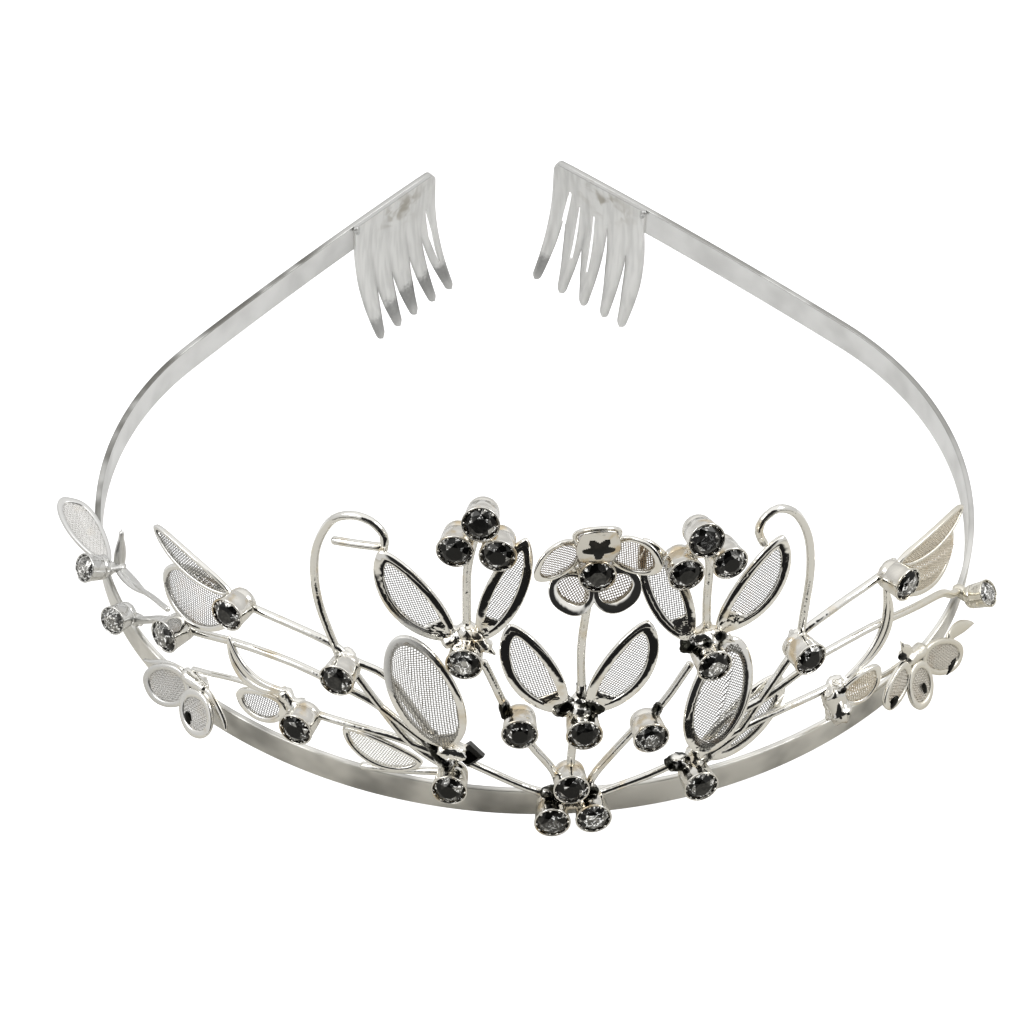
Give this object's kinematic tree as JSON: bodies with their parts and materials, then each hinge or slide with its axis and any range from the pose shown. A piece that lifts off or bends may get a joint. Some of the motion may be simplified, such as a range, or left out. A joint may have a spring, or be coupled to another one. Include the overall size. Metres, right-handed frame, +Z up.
{
  "type": "rhinestone tiara",
  "caption": "Rhinestone tiara: bent plated band with hair combs at its ends and a spray of wire stems, gauze leaves, flowers and faceted grey stones in cups.",
  "frame": {"origin": "middle of the bounding box at the level on which the tiara rests", "axes": "+X to the tiara's right as seen from the front, +Y towards its open back, +Z up; it rests tipped forward on the band's front edge and the comb tips"},
  "size_m": [0.133, 0.1312, 0.0566],
  "materials": {
    "plated_band": "satin silver plating",
    "plated_comb": "satin silver plating",
    "plated_wire": "bright silver plating",
    "grey_stone": "faceted smoke-grey glass",
    "metal_gauze": "fine woven plated wire"
  },
  "bodies": {
    "root": {"band": "plated_band", "left_comb": "plated_comb", "right_comb": "plated_comb", "centre_wirework": "plated_wire", "left_twig": "plated_wire", "right_twig": "plated_wire", "left_branch": "plated_wire", "right_branch": "plated_wire", "left_flower": "plated_wire", "right_flower": "plated_wire", "left_tail": "plated_wire", "stone_base_top": "grey_stone", "stone_base_left": "grey_stone", "stone_base_right": "grey_stone", "stone_centre": "grey_stone", "stone_left_stem": "grey_stone", "stone_right_stem": "grey_stone", "stone_left_junction": "grey_stone", "stone_right_junction": "grey_stone", "stone_left_top_a": "grey_stone", "stone_left_top_b": "grey_stone", "stone_left_top_c": "grey_stone", "stone_right_top_a": "grey_stone", "stone_right_top_b": "grey_stone", "stone_right_top_c": "grey_stone", "stone_flower": "grey_stone", "stone_left_crook": "grey_stone", "stone_right_crook": "grey_stone", "stone_left_big": "grey_stone", "stone_right_big": "grey_stone", "stone_left_low": "grey_stone", "stone_right_low": "grey_stone", "stone_left_fold": "grey_stone", "stone_right_fold": "grey_stone", "stone_left_outer": "grey_stone", "stone_left_tail": "grey_stone", "stone_left_side": "grey_stone", "stone_right_side": "grey_stone", "gauze_centre_left": "metal_gauze", "gauze_centre_right": "metal_gauze", "gauze_left_inner": "metal_gauze", "gauze_left_outer": "metal_gauze", "gauze_right_inner": "metal_gauze", "gauze_right_outer": "metal_gauze", "gauze_left_big": "metal_gauze", "gauze_right_big": "metal_gauze", "gauze_right_behind": "metal_gauze", "gauze_left_low": "metal_gauze", "gauze_left_loop": "metal_gauze", "gauze_left_fold": "metal_gauze", "gauze_right_fold": "metal_gauze", "gauze_left_tail": "metal_gauze", "gauze_right_fan": "metal_gauze", "gauze_top_flower": "metal_gauze", "gauze_left_flower": "metal_gauze", "gauze_right_flower": "metal_gauze"}
  },
  "joints": []
}
